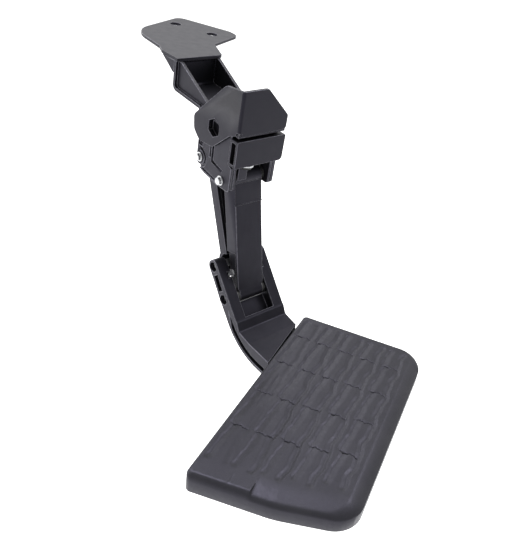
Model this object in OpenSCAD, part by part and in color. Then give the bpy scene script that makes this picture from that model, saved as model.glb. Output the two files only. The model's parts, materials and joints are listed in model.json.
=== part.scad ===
// Folding tailgate step that hangs under a pickup's rear bumper.
// Origin: midway between the two frame bolt holes, on the bracket's top face.
// +Z up, +Y towards the vehicle, +X along the tread's long side.
// The linkage works in its own vertical plane, turned about Z from the tread.

/* [Tread] */
// Length of the tread along its inner edge
tread_len = 326; // [300:1:350]
// Width of the tread, inner edge to outer edge
tread_w = 169; // [150:1:180]
// Depth of the tread's skirt
tread_h = 24; // [20:1:30]
// Wall thickness of the moulded tread
tread_t = 4; // [3:0.5:5]
// Fall of the tread towards its square end, in degrees
tread_fall_x = 2.5; // [0:0.1:4]
// Fall of the tread towards the vehicle, in degrees
tread_fall_y = 3.9; // [0:0.1:5]
// Length of one row of tread blocks
row_pitch = 61; // [50:1:70]

/* [Frame bracket] */
// Distance between the two frame bolt holes
bolt_pitch = 59; // [50:1:70]
// Diameter of the frame bolt holes
bolt_hole_d = 15.5; // [12:0.5:17]
// Thickness of the bracket and arm sheet
sheet_t = 4; // [3:0.5:5]

/* [Linkage] */
// Angle between the pivot axes and the tread's long side
skew = 24.5; // [15:0.5:35]
// Diameter of the pivot pins
pin_d = 10; // [8:0.5:11]
// Width of both links
link_w = 42; // [38:1:43]
// Wall thickness of the link castings
link_t = 5; // [4:0.5:6]
// Running clearance of a bush on its pin, on the radius
run_gap = 0.05; // [0.02:0.01:0.1]

/* [Hidden] */
$fn = 48;

// Tread datum: the top of its square inner corner, seen from the origin
tread_corner = [-131.3, -282.2, -298];
// Middle plane of the linkage, measured from the tread datum along the pivot axes
mid_plane = -64;

// Pivot centres as [y, z] in the linkage frame
front_upper = [93.7, 185.9];
rear_upper = [138.1, 197.8];
front_lower = [51.5, 34.7];
rear_lower = [80, 69];

pin_r = pin_d / 2;
bush_r = pin_r + 1.5;
flange_r = pin_r + 4;
flange_t = 1.9;
groove_r = pin_r - 1;
clip_t = 1.2;

link_h = link_w / 2;
link_h_low = link_h - 2;
ear_in = 26.5;
ear_out = 35.5;
wall_in = 24;
wall_out = 41;
wall_web = 33;
gusset_out = 30.25;

// Sloping floor of the arm: its underside at a given y
arm_y0 = 75;
arm_z0 = 249;
arm_slope = 0.071;
function arm_z(y) = arm_z0 + arm_slope * (y - arm_y0);

// Curved lower edge of the knuckle
bend_c = [-30, 68];
bend_r = 90;
bend_a = -41.7;

// ---------- helpers ----------

module in_linkage() translate(tread_corner) rotate([0, 0, -skew]) translate([mid_plane, 0, 0]) children();

module in_tread() translate(tread_corner) rotate([-tread_fall_y, tread_fall_x, 0]) children();

// The linkage's directions laid into the tread's own plane
module in_tongue() in_tread() rotate([0, 0, -skew]) translate([mid_plane, 0, 0]) children();

// A side outline, given as [y, z], extruded from x0 to x1
module side(x0, x1, pts) translate([x0, 0, 0]) rotate([90, 0, 90]) linear_extrude(x1 - x0) polygon(pts);

// The same outline on both sides of the middle plane
module both(x0, x1, pts) {
    side(x0, x1, pts);
    side(-x1, -x0, pts);
}

module round_bar(c, r, x0, x1) translate([x0, c[0], c[1]]) rotate([0, 90, 0]) cylinder(r = r, h = x1 - x0);

module hex_bar(c, flats, x0, x1)
    translate([x0, c[0], c[1]]) rotate([0, 90, 0]) cylinder(r = flats / sqrt(3), h = x1 - x0, $fn = 6);

module ring(c, r_in, r_out, x0, x1) difference() {
    round_bar(c, r_out, x0, x1);
    round_bar(c, r_in, x0 - 1, x1 + 1);
}

function unit(v) = v / norm(v);
function polar(r, a) = r * [cos(a), sin(a)];
function arc(c, r, a0, a1, n) = [for (i = [0 : n]) c + polar(r, a0 + (a1 - a0) * i / n)];
function but_last(v) = [for (i = [0 : len(v) - 2]) v[i]];

// Outline with rounded corners: each corner is [x, y, radius]
function flat(p) = [p[0], p[1]];
function short_turn(d) = d > 180 ? d - 360 : d < -180 ? d + 360 : d;
function corner(p, q, s, n) =
    let (u = unit(flat(p) - flat(q)), v = unit(flat(s) - flat(q)),
        half = acos(max(-1, min(1, u * v))) / 2, t = q[2] / tan(half),
        c = flat(q) + unit(u + v) * q[2] / sin(half),
        a = flat(q) + u * t - c, b = flat(q) + v * t - c,
        a0 = atan2(a[1], a[0]), turn = short_turn(atan2(b[1], b[0]) - a0))
    q[2] == 0 ? [flat(q)] : arc(c, q[2], a0, a0 + turn, n);
function rounded(pts, n = 6) =
    let (m = len(pts))
        [for (i = [0 : m - 1]) each corner(pts[(i + m - 1) % m], pts[i], pts[(i + 1) % m], n)];

// Straight bar outline between two points
function bar(a, b, w) = let (u = unit(b - a), n = [-u[1], u[0]] * w / 2) [a + n, b + n, b - n, a - n];

// A point of the linkage frame, [x, y], seen in the bracket's own plane
function in_plan(p) = let (x = p[0] + mid_plane)
    [tread_corner[0] + x * cos(skew) + p[1] * sin(skew), tread_corner[1] - x * sin(skew) + p[1] * cos(skew)];
function in_plan_r(p) = let (q = in_plan(p)) [q[0], q[1], p[2]];

// ---------- frame bracket, arm and guard ----------

// Where the bracket plate's front edge meets the arm
lip_y = 202.5;
bracket_half = gusset_out + sheet_t;
flange_len = 25;
flange_depth = 19;
plate_outline = rounded([
    [36.7, 46.8, 12], [-73.3, 46.8, 50], [-109, -14, 5], in_plan_r([-bracket_half, lip_y + 34, 2]),
    in_plan_r([-bracket_half, lip_y, 0.5]), in_plan_r([bracket_half, lip_y, 5]), [-40, -55.7, 8],
    [28, -55.7, 14], [36.7, -38, 10]]);
// The side flanges start behind the arm's drop wall
flange_y = 208.7;
flange_outline = rounded([[flange_y, -sheet_t, 0], [flange_y + flange_len, -sheet_t, 0],
    [flange_y + 2, -flange_depth, 3], [flange_y, -flange_depth, 0]]);

module frame_bracket() color("dimgray") {
    difference() {
        translate([0, 0, -sheet_t]) linear_extrude(sheet_t) polygon(plate_outline);
        for (s = [-1, 1]) translate([0, s * bolt_pitch / 2, -sheet_t - 1])
            cylinder(d = bolt_hole_d, h = sheet_t + 2);
    }
    translate([0, 0, -tread_corner[2]]) in_linkage() both(gusset_out, bracket_half, flange_outline);
}

plate_bottom = -tread_corner[2] - sheet_t;
arm_front = 70.8;
arm_back = 208.5;
gusset_front = 125;
deck_end = 150;
gusset_back = arm_back - sheet_t + 0.5;
gusset_outline = [[gusset_back, plate_bottom], [199, plate_bottom],
    [gusset_front, arm_z(gusset_front) + sheet_t - 0.5], [gusset_front, arm_z(gusset_front) + 1],
    [gusset_back - 4, arm_z(gusset_back) + 1], [gusset_back, arm_z(gusset_back) + 5]];
floor_outline = [[arm_front, arm_z(arm_front)], [deck_end, arm_z(deck_end)],
    [deck_end, arm_z(deck_end) + sheet_t], [arm_front, arm_z(arm_front) + sheet_t]];
// The arm's sheet: floor, bend and drop wall
bend_out = 8;
arm_outline = rounded([[arm_front, arm_z(arm_front), 0], [arm_back, arm_z(arm_back), bend_out],
    [arm_back, plate_bottom, 0], [arm_back - sheet_t, plate_bottom, 0],
    [arm_back - sheet_t, arm_z(arm_back - sheet_t) + sheet_t, bend_out - sheet_t],
    [arm_front, arm_z(arm_front) + sheet_t, 0]]);
housing_bolt_at = [for (x = [-17, 17], y = [95, 132]) [x, y]];
housing_bolt_r = 4;

module arm_channel() color("dimgray") in_linkage() difference() {
    union() {
        side(-bracket_half, bracket_half, arm_outline);
        side(-ear_out, ear_out, floor_outline);
        both(gusset_out - sheet_t, gusset_out, gusset_outline);
    }
    for (p = housing_bolt_at) translate([p[0], p[1], 235]) cylinder(r = housing_bolt_r, h = 40);
}

guard_t = 3.5;
guard_x = -39;
guard_y = 67.3;
guard_top = 304.5;
guard_side = rounded([[guard_y, guard_top, 0], [99, 301.5, 12], [153.5, 248, 9], [151, 231, 9],
    [140, 220.5, 14], [112, 222, 14], [84, 247, 4], [guard_y, 254.5, 0]]);
guard_face = rounded([[guard_x, 251.5, 0], [33.4, 253, 4], [33.4, 270.5, 4], [-3, guard_top + 0.5, 5],
    [guard_x, guard_top, 0]]);
hex_hole = [113, 246];
hex_hole_flats = 20;
relief_r = 3.2;

module guard_plate() color("dimgray") in_linkage() difference() {
    union() {
        side(guard_x, guard_x + guard_t, guard_side);
        translate([0, guard_y + guard_t, 0]) rotate([90, 0, 0]) linear_extrude(guard_t) polygon(guard_face);
    }
    hex_bar(hex_hole, hex_hole_flats, guard_x - 1, guard_x + guard_t + 1);
    translate([guard_x + 2, guard_y + 2, 248]) cylinder(r = relief_r, h = 8);
}

// ---------- housing ----------

housing_front = 82;
housing_back = 144.8;
ear_outline = rounded([[housing_front, arm_z(housing_front), 0], [housing_front, 211, 1], [76.6, 209, 1],
    [76.6, 176.8, 4], [99, 177, 20], [127, 180.5, 20], [housing_back, 186, 16],
    [housing_back, arm_z(housing_back), 0]]);
deck_t = 8;
deck_outline = [[housing_front, arm_z(housing_front) - deck_t], [housing_back, arm_z(housing_back) - deck_t],
    [housing_back, arm_z(housing_back)], [housing_front, arm_z(housing_front)]];
front_wall_t = 4.5;
front_wall_z = 212;
front_wall_outline = [[housing_front, front_wall_z], [housing_front + front_wall_t, front_wall_z],
    [housing_front + front_wall_t, arm_z(housing_front) - deck_t + 1],
    [housing_front, arm_z(housing_front) - deck_t + 1]];
pocket = 3;
pocket_r = 13.5;
pocket_w = 4;

// Lightening grooves in an ear's outer face, from x inwards
module ear_pockets(x) {
    difference() {
        round_bar(rear_upper, pocket_r, x, x + pocket);
        round_bar(rear_upper, pocket_r - pocket_w, x - 1, x + pocket + 1);
        translate([x - 1, rear_upper[0], rear_upper[1] - 8]) cube([pocket + 2, 30, 40]);
    }
    side(x, x + pocket, bar([113.8, 222], [113.8, 201], 3.4));
    side(x, x + pocket, bar([113.8, 202.5], [93, 197.5], 3.4));
    side(x, x + pocket, bar([118.6, 222], [118.6, 206], 2.4));
    side(x, x + pocket, bar([131, 185.5], [103, 181.5], 3));
    side(x, x + pocket, rounded([[134, 222, 2], [143, 222, 2], [143, 213, 2], [134, 213, 2]]));
    hex_bar(hex_hole, 26, x - pocket * (x > 0 ? 1 : 0), x + pocket * (x > 0 ? 1 : 2));
}

module pivot_housing() color("darkslategray") in_linkage() difference() {
    union() {
        both(ear_in, ear_out, ear_outline);
        side(-ear_out, ear_out, deck_outline);
        side(-ear_out, ear_out, front_wall_outline);
    }
    ear_pockets(-ear_out);
    ear_pockets(ear_out - pocket);
    for (p = [front_upper, rear_upper]) round_bar(p, pin_r, -ear_out - 1, ear_out + 1);
    for (p = housing_bolt_at) translate([p[0], p[1], 225]) cylinder(r = housing_bolt_r, h = 40);
    for (s = [-1, 1]) translate([s * (ear_out - 4.5), 76, 179]) cylinder(r = 1.4, h = 30);
}

module hex_head(flats, h) cylinder(r = flats / sqrt(3), h = h, $fn = 6);

module housing_bolts() color("silver") in_linkage() for (p = housing_bolt_at)
    translate([p[0], p[1], arm_z(p[1]) - deck_t - 7.5]) {
        cylinder(r = housing_bolt_r, h = deck_t + sheet_t + 8.3);
        translate([0, 0, deck_t + sheet_t + 8.2]) cylinder(r = 8, h = 1.5);
        translate([0, 0, deck_t + sheet_t + 9.6]) hex_head(13, 5.3);
    }

module housing_nuts() color("silver") in_linkage() for (p = housing_bolt_at)
    translate([p[0], p[1], arm_z(p[1]) - deck_t - 6.8]) difference() {
        union() {
            hex_head(13, 5.2);
            translate([0, 0, 5]) cylinder(r = 8, h = 1.2);
        }
        translate([0, 0, -1]) cylinder(r = housing_bolt_r, h = 12);
    }

// ---------- front tube and stop ----------

tube_half = 37.4;
tube_z0 = 212;
tube_z1 = 245.3;
tube_y0 = 68.5;
tube_y1 = 82;
tube_t = 3.5;
buffer_at = [-13, 77];
buffer_r = 9.5;
buffer_drop = 6;
stem_r = 2.5;
tube_face = rounded([[-tube_half, tube_z0, 1.5], [tube_half - 1, tube_z0, 5],
    [tube_half - 1, tube_z1, 1.5], [-tube_half, tube_z1, 1.5]]);
tube_bore = rounded([[tube_y0 + tube_t, tube_z0 + tube_t, 1.5], [tube_y1 - 2.5, tube_z0 + tube_t, 1.5],
    [tube_y1 - 2.5, tube_z1 - tube_t, 1.5], [tube_y0 + tube_t, tube_z1 - tube_t, 1.5]]);

module front_tube() color("dimgray") in_linkage() difference() {
    translate([0, tube_y1, 0]) rotate([90, 0, 0]) linear_extrude(tube_y1 - tube_y0) polygon(tube_face);
    side(-tube_half - 1, tube_half + 1, tube_bore);
    translate([buffer_at[0], buffer_at[1] - 1.5, tube_z0 - 1]) cylinder(r = stem_r, h = 8);
}

buffer_t = 4;
buffer_round = 3;
plate_t = buffer_drop - buffer_t;
buffer_outline = concat([[0, 0]], arc([buffer_r - 1 - buffer_round, buffer_round], buffer_round, -90, 0, 6),
    [[buffer_r - 1, buffer_t], [0, buffer_t]]);

module stop_buffer() color("black") in_linkage()
    translate([buffer_at[0], buffer_at[1], tube_z0 - buffer_drop]) {
        rotate_extrude() polygon(buffer_outline);
        translate([0, -1.5, buffer_t - 0.1]) cylinder(r = stem_r, h = plate_t + 6.6);
    }

module buffer_plate() color("silver") in_linkage()
    translate([buffer_at[0], buffer_at[1], tube_z0 - plate_t]) difference() {
        cylinder(r = buffer_r, h = plate_t);
        translate([0, -1.5, -1]) cylinder(r = stem_r, h = plate_t + 2);
    }

// ---------- upper pins ----------

pin_end = ear_out + 4;
clip_x = ear_out + 0.6;
collar_r = pin_r + 1;
collar_t = 1.2;
head_flats = 8.6;
head_t = 3.8;

module shouldered_pin(c) {
    difference() {
        round_bar(c, pin_r, -ear_out - 0.1, pin_end);
        ring(c, groove_r, pin_r + 1, clip_x, clip_x + clip_t);
    }
    round_bar(c, collar_r, -ear_out - collar_t, -ear_out);
    intersection() {
        hex_bar(c, head_flats, -ear_out - collar_t - head_t, -ear_out - collar_t + 0.1);
        translate([-ear_out, c[0], c[1]]) rotate([0, -90, 0])
            cylinder(r1 = head_flats, r2 = 0.45 * head_flats, h = collar_t + head_t + 0.1);
    }
}

module front_upper_pin() color("silver") in_linkage() shouldered_pin(front_upper);

module rear_upper_pin() color("silver") in_linkage() shouldered_pin(rear_upper);

module clip(c, x0) difference() {
    ring(c, groove_r, pin_r + 1.2, x0, x0 + clip_t);
    translate([x0 - 1, c[0] - 2.2, c[1] - 12]) cube([clip_t + 2, 4.4, 12]);
}

module upper_pin_clips() color("silver") in_linkage() for (c = [front_upper, rear_upper]) clip(c, clip_x);

// A flat washer against the ear and a dished one that presses on the bush
washer_t = 1.3;

module washer_pair(c, s) {
    ring(c, pin_r, flange_r + 0.5, s > 0 ? ear_in - washer_t : -ear_in, s > 0 ? ear_in : washer_t - ear_in);
    translate([s * (ear_in - washer_t), c[0], c[1]]) rotate([0, -s * 90, 0]) rotate_extrude()
        polygon([[pin_r, 1.1], [pin_r, 1.9], [flange_r, 0.8], [flange_r, 0]]);
}

module friction_washers() color("gray") in_linkage()
    for (c = [front_upper, rear_upper], s = [-1, 1]) washer_pair(c, s);

// ---------- front link ----------

front_eye_r = 12;
front_low_r = 9.5;
web_start = [81.9, 183];
web_top = [75.6, 156.5];
web_end = [46.9, 45.5];
web_t = [4.6, -1.2];
web_outline = [web_start, web_top, web_end, web_end + web_t, web_top + web_t, web_start + web_t];
// Apron that closes the front of the lower eye
apron_outline = [web_end, [42.4, 37.3], [42.6, 31.2], [47, 25.8], [54, 38], web_end + web_t];
front_outline = [web_start, web_top, web_end, [43.6, 39], [57, 27], [63, 42], [78.4, 90], [105.3, 183]];
upper_pad = [web_start, web_top, [59.6, 94], [70.5, 90.4], [79.2, 88.5], [105.3, 183]];
heel_x = [-20, -6];
heel_outline = rounded([[80, 188, 0], [80, 205.6, 2], [90, 205.6, 2], [94, 192, 0]]);
cross_z = [64, 92, 120, 146];
function cross_rib(z) = bar([38.4 + 0.257 * z, z], [43 + 0.285 * z, z + 4], 3.2);

module bush(c, x0, s) {
    ring(c, pin_r + run_gap, bush_r, s > 0 ? x0 - 12 : -x0, s > 0 ? x0 : -x0 + 12);
    ring(c, pin_r + run_gap, flange_r, s > 0 ? x0 : -x0 - flange_t, s > 0 ? x0 + flange_t : -x0);
}

module front_link() color("dimgray") in_linkage() difference() {
    union() {
        both(link_h_low - link_t, link_h_low, front_outline);
        both(link_h_low, link_h, upper_pad);
        side(-link_h, link_h, web_outline);
        side(-link_h_low, link_h_low, apron_outline);
        round_bar(front_upper, front_eye_r, -link_h, link_h);
        round_bar(front_lower, front_low_r, -link_h_low, link_h_low);
        side(heel_x[0], heel_x[1], heel_outline);
        for (z = cross_z) side(-link_h_low, link_h_low, cross_rib(z));
    }
    for (c = [front_upper, front_lower]) round_bar(c, bush_r, -link_h - 1, link_h + 1);
    round_bar(stop_at, stop_r, -link_h - 1, link_h + 1);
}

module front_link_bushes() color("ivory") in_linkage() for (s = [-1, 1]) {
    bush(front_upper, link_h, s);
    bush(front_lower, link_h_low, s);
}

// Studs pressed into the cheeks, which the knuckle bears on when the step is down
stop_at = [64.8, 62.6];
stop_r = 3;
stop_root = link_h_low - link_t;
stop_end = 28.5;
stop_flange_t = 1.5;

module stop_stud() {
    round_bar(stop_at, stop_r, stop_root, stop_end);
    round_bar(stop_at, stop_r + 1.6, link_h_low, link_h_low + stop_flange_t);
}

module stop_studs() color("silver") in_linkage() {
    stop_stud();
    mirror([1, 0, 0]) stop_stud();
}

// ---------- rear link ----------

rear_dir = unit(rear_upper - rear_lower);
rear_eye_r = 10.5;
rear_depth = 14;
slot_half = 3.5;
slot_r = pin_r + 2.5;
slot_wall = 4.9;
tongue_h = 12.5;
rear_end = rear_lower + rear_dir * 12;
// The eye is narrow in front, to pass between the front link's cheeks, and full width behind
rear_back = rear_lower + [rear_dir[1], -rear_dir[0]] * 10;
eye_back = bar(rear_back - rear_dir * 20, rear_back + rear_dir * 20, 17);

module slot_shape(r, x0, x1) {
    for (s = [-1, 1]) round_bar(rear_lower + s * slot_half * rear_dir, r, x0, x1);
    side(x0, x1, bar(rear_lower - slot_half * rear_dir, rear_lower + slot_half * rear_dir, 2 * r));
}

module rear_link() color("dimgray") in_linkage() difference() {
    union() {
        both(link_h - link_t, link_h, bar(rear_end + [1, 0], rear_upper, rear_depth));
        side(-link_h, link_h, bar(rear_lower + rear_dir * 22, rear_upper, 5));
        side(-tongue_h, tongue_h, bar(rear_lower, rear_upper - rear_dir * 90, rear_depth));
        slot_shape(slot_r + slot_wall, -tongue_h, tongue_h);
        intersection() {
            slot_shape(slot_r + slot_wall, -link_h, link_h);
            side(-link_h, link_h, eye_back);
        }
        round_bar(rear_upper, rear_eye_r, -link_h, link_h);
    }
    slot_shape(slot_r, -link_h - 1, link_h + 1);
    round_bar(rear_upper, bush_r, -link_h - 1, link_h + 1);
}

module rear_link_bushes() color("ivory") in_linkage() for (s = [-1, 1]) bush(rear_upper, link_h, s);

// ---------- knuckle ----------

arm_end = -50;
// Top edge of the knuckle from the open yoke down to the tread
rise = [[22.6, 20.6, 0], [19, 18, 2], [13, 8, 3], [-8, 4.4, 10], [arm_end, 2.8, 0]];
arm_low = bend_c[1] - bend_r;
// Where the curved edge turns into the yoke's straight back
back_start = bend_c + polar(bend_r, bend_a);
back_dir = [-sin(bend_a), cos(bend_a)];
back_in = [-cos(bend_a), -sin(bend_a)];
wall_outline = concat(
    rounded(concat([[back_start[0], back_start[1], 0], [92.6, 70.7, 8.5], [79, 82.4, 8.5]], rise,
        [[arm_end, arm_low, 0]])),
    but_last(arc(bend_c, bend_r, -90, bend_a, 10)));
floor_t = 6;
back_len = 19.3;
back_t = 4;
floor_outline_k = concat([[arm_end, arm_low]], arc(bend_c, bend_r, -90, bend_a, 10),
    [back_start + back_dir * back_len, back_start + back_dir * back_len + back_in * back_t],
    arc(bend_c, bend_r - floor_t, bend_a, -90, 10), [[arm_end, arm_low + floor_t]]);
lip_outline = rounded(concat(rise, [[arm_end, -2.2, 0], [-8, -0.8, 0], [15, 2.8, 0], [24.5, 14.5, 0]]));
recess_r = 6.5;
tongue_len = 98;
tongue_half = 37;
tongue_top = -2 * tread_t - 0.2;
tongue_bottom = -20;
groove_w = 6.5;
groove_in = 7.6;
groove_mid_r = bend_r - groove_in;
pin_line = unit(front_lower - rear_lower);
pin_margin = 11.5 * pin_line;
window_outline = bar(rear_lower + pin_margin, front_lower - pin_margin, 8);
groove_outline = concat(arc(bend_c, groove_mid_r + groove_w / 2, -90, -48, 8), [[36.5, 22.5]],
    arc(bend_c, groove_mid_r - groove_w / 2, -48, -90, 8),
    [[arm_end + 8, arm_low + groove_in + groove_w / 2], [arm_end + 8, arm_low + groove_in - groove_w / 2]]);

module knuckle_pockets(x) {
    side(x, x + wall_out - wall_web + 1, window_outline);
    side(x, x + wall_out - wall_web + 1, groove_outline);
}

module knuckle() color("darkslategray") difference() {
    union() {
        in_linkage() {
            both(wall_in, wall_out, wall_outline);
            side(-wall_in, wall_in, floor_outline_k);
            side(-wall_in, wall_in, lip_outline);
        }
        in_tongue() translate([-tongue_half, -tongue_len, tongue_bottom])
            cube([2 * tongue_half, tongue_len, tongue_top - tongue_bottom]);
    }
    in_linkage() {
        knuckle_pockets(-wall_out - 1);
        knuckle_pockets(wall_web);
        for (s = [-1, 1]) {
            round_bar(stop_at, notch_r, s > 0 ? wall_in - 1 : -notch_x, s > 0 ? notch_x : 1 - wall_in);
            side(s > 0 ? wall_in - 1 : -notch_x, s > 0 ? notch_x : 1 - wall_in,
                bar(stop_at, stop_at + notch_out * 15, 2 * notch_r + 0.8));
        }
        for (c = [front_lower, rear_lower], s = [-1, 1]) {
            round_bar(c, pin_r, s > 0 ? wall_in - 3 : -wall_out, s > 0 ? wall_out : -wall_in + 3);
            round_bar(c, recess_r, s > 0 ? wall_web : -wall_out - 1, s > 0 ? wall_out + 1 : -wall_web);
        }
    }
    in_tread() translate([-400, -300, tongue_top]) cube([500, 301, 60]);
    in_tongue() for (p = step_bolt_at) translate([p[0], p[1], tongue_bottom - 10])
        cylinder(r = step_bolt_r, h = 30);
}

// Open notches inside the walls, whose far sides meet the stop studs
notch_r = stop_r + 0.4;
notch_x = stop_end + 0.8;
notch_out = unit([-(stop_at - front_lower)[1], (stop_at - front_lower)[0]]);

lower_half = 35.5;
lower_clip_x = wall_web + 0.7;

module plain_pin(c) difference() {
    round_bar(c, pin_r, -lower_half, lower_half);
    for (s = [-1, 1]) ring(c, groove_r, pin_r + 1, s * lower_clip_x - 0.5, s * lower_clip_x + 0.5);
}

module front_lower_pin() color("silver") in_linkage() plain_pin(front_lower);

module rear_lower_pin() color("silver") in_linkage() plain_pin(rear_lower);

module lower_pin_clips() color("silver") in_linkage() for (c = [front_lower, rear_lower], s = [-1, 1])
    ring(c, groove_r, recess_r - 0.2, s * lower_clip_x - 0.5, s * lower_clip_x + 0.5);

thrust_in = link_h_low + flange_t + 0.4;

module thrust_washers() color("gray") in_linkage() {
    ring(front_lower, pin_r, flange_r, thrust_in, wall_in);
    ring(front_lower, pin_r, flange_r, -wall_in, -thrust_in);
}

// ---------- step ----------

end_taper = 33;
tread_outline = [[6, 0, 5], [6, -tread_w, 28], [6 - tread_len + end_taper, -tread_w, 34],
    [6 - tread_len + 11, -tread_w * 0.55, 120], [6 - tread_len, 0, 6]];
bevel_h = 9;
bevel_in = 15;
column_pitch = 29.2;
groove_d = 0.8;
step_bolt_at = [for (x = [-24, 24], y = [-86, -64]) [x, y]];
step_bolt_r = 4;
screw_at = [[-20, -20], [-20, -145], [-155, -30], [-155, -148], [-285, -25], [-272, -138]];
screw_r = 2.2;
base_margin = 15;
base_bottom = -2 * tread_t;
top_outline = [[4, -2, 4], [4, bevel_in - tread_w, 18],
    [12 - tread_len + end_taper, bevel_in - tread_w, 24], [22 - tread_len, -tread_w * 0.55, 120],
    [12 - tread_len, -2, 5]];

module tread_plan() polygon(rounded(tread_outline, 8));

module tread_block() {
    translate([0, 0, -tread_h]) linear_extrude(tread_h - bevel_h + 0.1) tread_plan();
    hull() {
        translate([0, 0, -bevel_h]) linear_extrude(0.1) tread_plan();
        translate([0, 0, -0.1]) linear_extrude(0.1) polygon(rounded(top_outline, 8));
    }
}

module tread() color("darkslategray") difference() {
    in_tread() difference() {
        tread_block();
        translate([0, 0, -tread_h - 1]) linear_extrude(tread_h - tread_t - 3) offset(delta = -tread_t)
            tread_plan();
        translate([0, 0, base_bottom]) linear_extrude(-base_bottom - tread_t) offset(delta = -base_margin)
            tread_plan();
        for (p = screw_at) translate([p[0], p[1], base_bottom - 1]) cylinder(r = screw_r, h = 7.5);
        for (i = [1 : 4]) translate([10 - tread_len, -3 - column_pitch * i, -groove_d])
            cube([tread_len - 18, 4, 2]);
        for (i = [0 : 4]) translate([-46 - row_pitch * i, -146, -groove_d]) cube([3, 139, 2]);
    }
    in_tongue() translate([-wall_out - 0.5, -60, -tread_h - 1])
        cube([2 * wall_out + 1, 90, tread_h + 1 + tongue_top]);
}

// Ribs under the base plate, clear of the screws and of the knuckle's tongue
rib_x = [-262, -205, -145];
rib_y = [-42, -100, -140];
rib_t = 3;
rib_bottom = -17;
rib_h = base_bottom - rib_bottom + 0.5;
rib_x_len = rib_x[2] - rib_x[0] + rib_t;
rib_y_len = rib_y[0] - rib_y[2] + rib_t;

module step_base() color("dimgray") in_tread() difference() {
    union() {
        translate([0, 0, base_bottom]) linear_extrude(-base_bottom - tread_t)
            offset(delta = -base_margin - 0.4) tread_plan();
        for (y = rib_y) translate([rib_x[0], y, rib_bottom]) cube([rib_x_len, rib_t, rib_h]);
        for (x = rib_x) translate([x, rib_y[2], rib_bottom]) cube([rib_t, rib_y_len, rib_h]);
    }
    for (p = screw_at) translate([p[0], p[1], base_bottom - 2]) cylinder(r = screw_r, h = 9);
    rotate([0, 0, -skew]) translate([mid_plane, 0, 0])
        for (p = step_bolt_at) translate([p[0], p[1], -20]) cylinder(r = step_bolt_r, h = 30);
}

step_washer_t = 1.5;
step_head_t = 3.5;

module step_bolts() color("silver") in_tongue() for (p = step_bolt_at)
    translate([p[0], p[1], tongue_bottom - step_washer_t]) {
        translate([0, 0, -2]) cylinder(r = step_bolt_r, h = -tongue_bottom - tread_t + 3.3);
        translate([0, 0, -step_head_t]) hex_head(13, step_head_t);
    }

module step_washers() color("silver") in_tongue() for (p = step_bolt_at)
    translate([p[0], p[1], tongue_bottom - step_washer_t]) difference() {
        cylinder(r = 8, h = step_washer_t);
        translate([0, 0, -1]) cylinder(r = step_bolt_r, h = step_washer_t + 2);
    }

module tread_screws() color("silver") in_tread() for (p = screw_at) translate([p[0], p[1], base_bottom]) {
    translate([0, 0, -1]) cylinder(r = screw_r, h = 7.4);
    translate([0, 0, -2.2]) cylinder(r = 4.4, h = 2.2);
}

frame_bracket();
arm_channel();
guard_plate();
pivot_housing();
housing_bolts();
housing_nuts();
front_tube();
stop_buffer();
buffer_plate();
front_upper_pin();
rear_upper_pin();
upper_pin_clips();
friction_washers();
front_link();
front_link_bushes();
stop_studs();
rear_link();
rear_link_bushes();
knuckle();
front_lower_pin();
rear_lower_pin();
lower_pin_clips();
thrust_washers();
step_base();
tread();
step_bolts();
step_washers();
tread_screws();
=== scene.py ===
"""Looks of a folding tailgate step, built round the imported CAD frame.

The mesh builders work in millimetres, which mesh_from and soften turn into metres. The camera, the materials,
the lights and the floor are given in metres.
"""

import json
import math

import bmesh
import bpy
import numpy as np
from mathutils import Matrix, Vector
from mathutils.geometry import delaunay_2d_cdt


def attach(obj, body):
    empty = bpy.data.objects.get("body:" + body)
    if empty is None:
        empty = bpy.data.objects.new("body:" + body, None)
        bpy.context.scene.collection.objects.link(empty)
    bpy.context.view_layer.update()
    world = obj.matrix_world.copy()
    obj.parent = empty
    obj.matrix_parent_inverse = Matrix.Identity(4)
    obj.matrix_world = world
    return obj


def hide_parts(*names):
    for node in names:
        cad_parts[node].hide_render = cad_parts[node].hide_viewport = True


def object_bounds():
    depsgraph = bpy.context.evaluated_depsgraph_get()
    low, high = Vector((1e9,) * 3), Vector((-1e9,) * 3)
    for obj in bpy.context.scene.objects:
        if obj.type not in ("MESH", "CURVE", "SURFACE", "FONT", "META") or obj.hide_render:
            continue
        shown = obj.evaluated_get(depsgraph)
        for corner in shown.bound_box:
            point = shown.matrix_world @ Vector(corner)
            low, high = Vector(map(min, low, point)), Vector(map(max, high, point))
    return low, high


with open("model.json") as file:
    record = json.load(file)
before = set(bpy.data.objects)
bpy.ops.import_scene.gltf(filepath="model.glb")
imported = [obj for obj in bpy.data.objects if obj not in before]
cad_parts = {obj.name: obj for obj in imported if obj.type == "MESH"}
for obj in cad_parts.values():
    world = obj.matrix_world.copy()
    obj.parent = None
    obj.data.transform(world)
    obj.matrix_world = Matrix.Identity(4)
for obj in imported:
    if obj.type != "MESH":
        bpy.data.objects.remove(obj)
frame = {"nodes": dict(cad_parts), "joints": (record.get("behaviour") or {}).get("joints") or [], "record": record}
CAD_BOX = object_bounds()
RECORD = frame["record"]
MM = 0.001

BODY_OF = {n: body for body, nodes in RECORD["behaviour"]["bodies"].items() for n in nodes}
SLOT_OF = {s["node"]: s["material_slot"] for s in RECORD["subparts"]}


# ---------- frames ----------

# y and z of the front upper pivot in the linkage frame, in millimetres
FRONT_UPPER = (93.7, 185.9)
# Fall of the tread along x and along y, in degrees
TREAD_FALL_X = 2.5
TREAD_FALL_Y = 3.9


def joint(name):
    return next(j for j in frame["joints"] if j["name"] == name)


def frame_matrix(x, y, z, origin):
    """Matrix from local metres to the row frame."""
    m = Matrix((x, y, z)).transposed().to_4x4()
    m.translation = origin
    return m


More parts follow.
